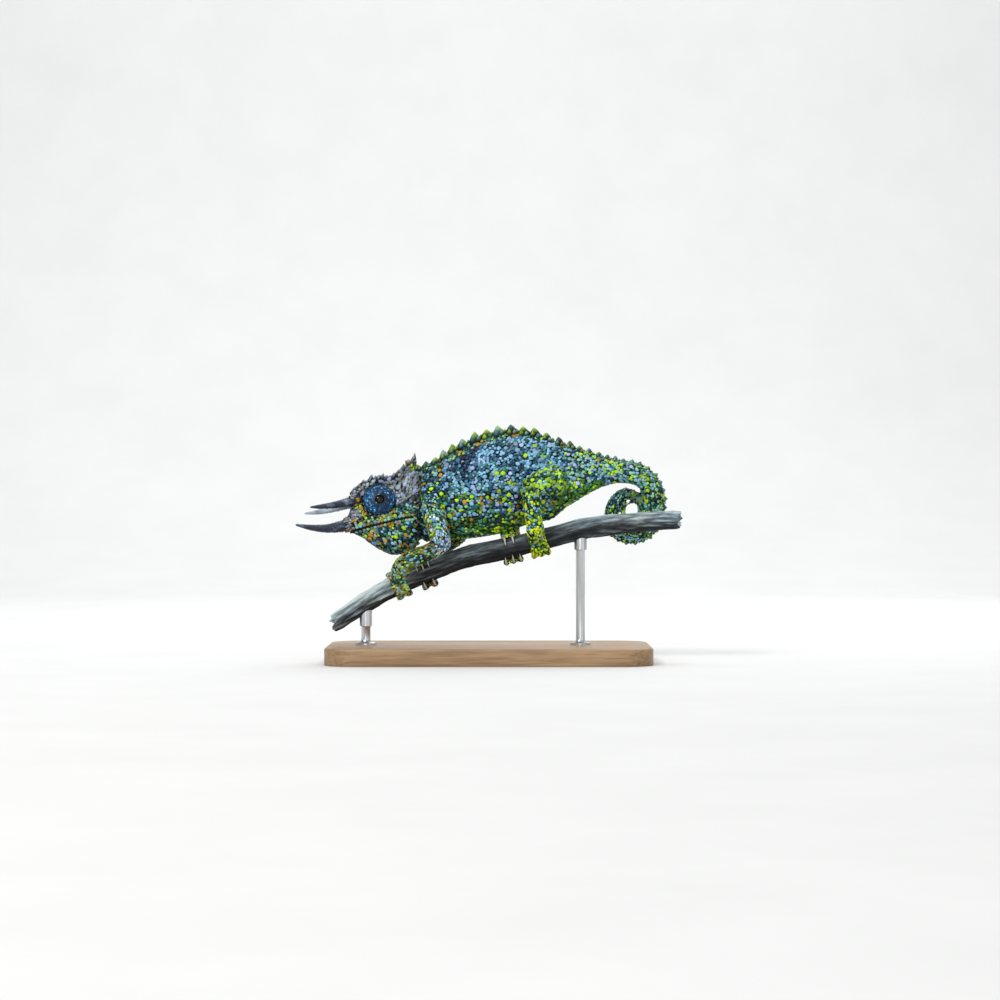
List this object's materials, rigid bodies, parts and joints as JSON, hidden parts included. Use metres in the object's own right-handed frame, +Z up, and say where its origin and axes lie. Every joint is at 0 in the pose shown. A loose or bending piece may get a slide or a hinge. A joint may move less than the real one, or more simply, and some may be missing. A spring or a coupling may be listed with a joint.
{
  "type": "jackson's chameleon",
  "caption": "Life-size horned male chameleon with a raised casque, turret eyes, spined back and coiled tail, gripping a cut branch held on a plain stand.",
  "frame": {"origin": "middle of the whole object's outline in plan, at the underside of the stand's base", "axes": "+X from the snout towards the tail, -Y towards the animal's left side, +Z up"},
  "size_m": [0.1994, 0.0878, 0.1232],
  "materials": {
    "skin_blue": "granular scales, matte",
    "skin_green": "granular scales, matte",
    "skin_tail": "granular scales, matte",
    "turret": "fine granular scales",
    "eye": "wet, glossy",
    "horn": "ringed horn, satin",
    "bark": "rough weathered bark",
    "stand_wood": "oiled, satin",
    "stand_steel": "brushed"
  },
  "bodies": {
    "root": {"neck": "skin_blue", "torso": "skin_blue", "tail_base": "skin_tail", "tail_bend": "skin_tail", "tail_under_branch": "skin_tail", "tail_coil": "skin_tail", "tail_inner_coil": "skin_tail", "tail_tip": "skin_tail", "head": "skin_green", "jaw": "skin_green", "upper_arm_left": "skin_green", "upper_arm_right": "skin_green", "forearm_left": "skin_green", "forearm_right": "skin_green", "hand_left": "skin_green", "hand_right": "skin_green", "thigh_left": "skin_green", "thigh_right": "skin_green", "shin_left": "skin_green", "shin_right": "skin_green", "foot_left": "skin_green", "foot_right": "skin_green", "turret_left": "turret", "turret_right": "turret", "eyeball_left": "eye", "eyeball_right": "eye", "horn_nose": "horn", "horn_left": "horn", "horn_right": "horn", "branch": "bark", "stand_base": "stand_wood", "stand_rod_front": "stand_steel", "stand_rod_rear": "stand_steel"}
  },
  "joints": []
}
